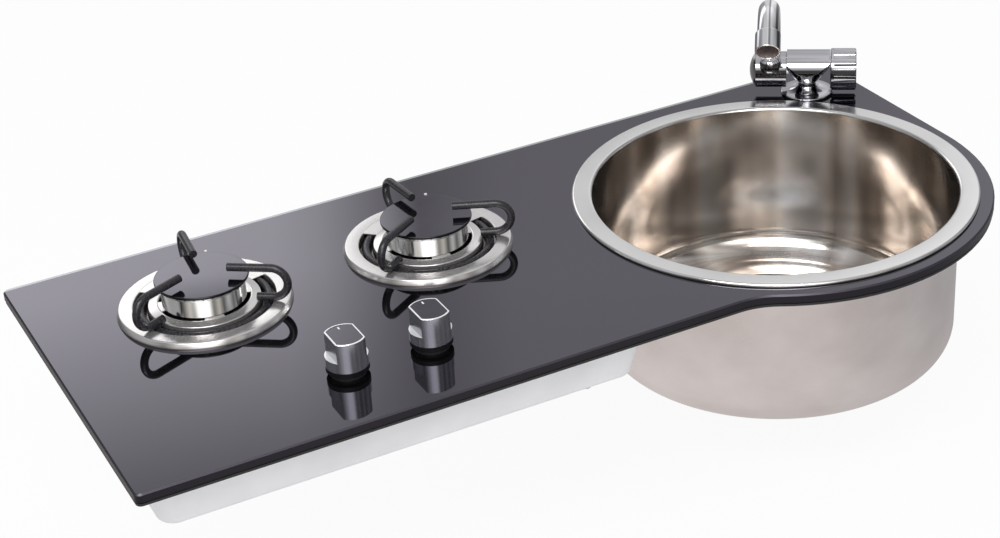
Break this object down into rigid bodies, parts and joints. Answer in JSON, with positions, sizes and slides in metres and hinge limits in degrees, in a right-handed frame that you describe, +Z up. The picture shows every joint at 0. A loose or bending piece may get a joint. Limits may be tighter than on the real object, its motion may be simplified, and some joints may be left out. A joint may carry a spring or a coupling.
{
  "type": "drop-in hob and sink panel",
  "caption": "Black glass drop-in panel for a caravan kitchen: gas burners with wire pan supports, push-and-turn knobs, a round steel bowl and a folding chrome tap.",
  "frame": {"origin": "underside of the foam seal, on its cross strip between the hob tray and the bowl, midway between the straight front and rear edges", "axes": "+X along the panel from the hob to the bowl, +Y to the rear, +Z up out of the worktop"},
  "size_m": [0.775, 0.365, 0.3012],
  "materials": {
    "black_glass": "glossy, ground edge",
    "foam_rubber": "matt",
    "satin_steel": "satin outside, polished inside",
    "bright_steel": "bright",
    "zinc_steel": "pale zinc",
    "black_enamel": "semi-gloss enamel",
    "cast_alloy": "die-cast",
    "brass": "machined",
    "pipe_alloy": "drawn",
    "ceramic": "glazed ceramic",
    "probe_steel": "heat-darkened",
    "knob_metal": "bright anodised",
    "gloss_black": "high gloss",
    "matt_black": "moulded",
    "chrome": "mirror chrome"
  },
  "bodies": {
    "panel": {"bowl_brackets": "zinc_steel", "bowl_screws": "bright_steel", "burner_base_1": "cast_alloy", "burner_base_2": "cast_alloy", "burner_cap_1": "black_enamel", "burner_cap_2": "black_enamel", "burner_cup_1": "bright_steel", "burner_cup_2": "bright_steel", "burner_head_1": "cast_alloy", "burner_head_2": "cast_alloy", "burner_tray": "zinc_steel", "clamp_arms": "zinc_steel", "clamp_screws": "bright_steel", "drip_ring_1": "bright_steel", "drip_ring_2": "bright_steel", "electrode_1": "ceramic", "electrode_2": "ceramic", "feed_pipe_1": "pipe_alloy", "feed_pipe_2": "pipe_alloy", "flame_probe_1": "probe_steel", "flame_probe_2": "probe_steel", "gas_manifold": "pipe_alloy", "gas_valve_1": "brass", "gas_valve_2": "brass", "glass_panel": "black_glass", "injector_1": "brass", "injector_2": "brass", "pan_support_1": "black_enamel", "pan_support_2": "black_enamel", "panel_seal": "foam_rubber", "shaft_seal_1": "foam_rubber", "shaft_seal_2": "foam_rubber", "sink_bowl": "satin_steel", "sink_gasket": "foam_rubber", "tap_body": "chrome", "tap_gasket": "foam_rubber", "tap_nut": "brass", "tap_washer": "bright_steel", "waste_body": "matt_black", "waste_flange": "bright_steel", "waste_gasket": "foam_rubber", "waste_screw": "bright_steel"},
    "knob_shaft_1": {"valve_stem_1": "bright_steel"},
    "knob_1": {"knob_barrel_1": "knob_metal", "knob_insert_1": "gloss_black", "knob_collar_1": "matt_black"},
    "knob_shaft_2": {"valve_stem_2": "bright_steel"},
    "knob_2": {"knob_barrel_2": "knob_metal", "knob_insert_2": "gloss_black", "knob_collar_2": "matt_black"},
    "spout": {"spout_elbow": "chrome", "spout_tube": "chrome", "spout_nozzle": "chrome"},
    "handle": {"tap_handle": "chrome", "handle_cap": "gloss_black"},
    "plug": {"waste_plug": "foam_rubber"}
  },
  "joints": [
    {"name": "knob_1_push", "type": "slide", "parent": "panel", "child": "knob_shaft_1", "axis": [0, 0, 1], "range_m": [-0.003, 0], "stiffness_N_per_m": 1500, "springref_m": 0.002},
    {"name": "knob_1_turn", "type": "hinge", "parent": "knob_shaft_1", "child": "knob_1", "pos_m": [-0.2395, -0.097, 0.0335], "axis": [0, 0, 1], "range_deg": [0, 210]},
    {"name": "knob_2_push", "type": "slide", "parent": "panel", "child": "knob_shaft_2", "axis": [0, 0, 1], "range_m": [-0.003, 0], "stiffness_N_per_m": 1500, "springref_m": 0.002},
    {"name": "knob_2_turn", "type": "hinge", "parent": "knob_shaft_2", "child": "knob_2", "pos_m": [-0.1725, -0.097, 0.0335], "axis": [0, 0, 1], "range_deg": [0, 210]},
    {"name": "spout_fold", "type": "hinge", "parent": "panel", "child": "spout", "pos_m": [0.3025, 0.119, 0.032], "axis": [0.8221, -0.5693, 0], "range_deg": [0, 80]},
    {"name": "tap_handle_turn", "type": "hinge", "parent": "panel", "child": "handle", "pos_m": [0.3025, 0.119, 0.032], "axis": [0.8221, -0.5693, 0], "range_deg": [0, 90]},
    {"name": "waste_plug_lift", "type": "slide", "parent": "panel", "child": "plug", "axis": [0, 0, 1], "range_m": [0, 0.08]}
  ]
}
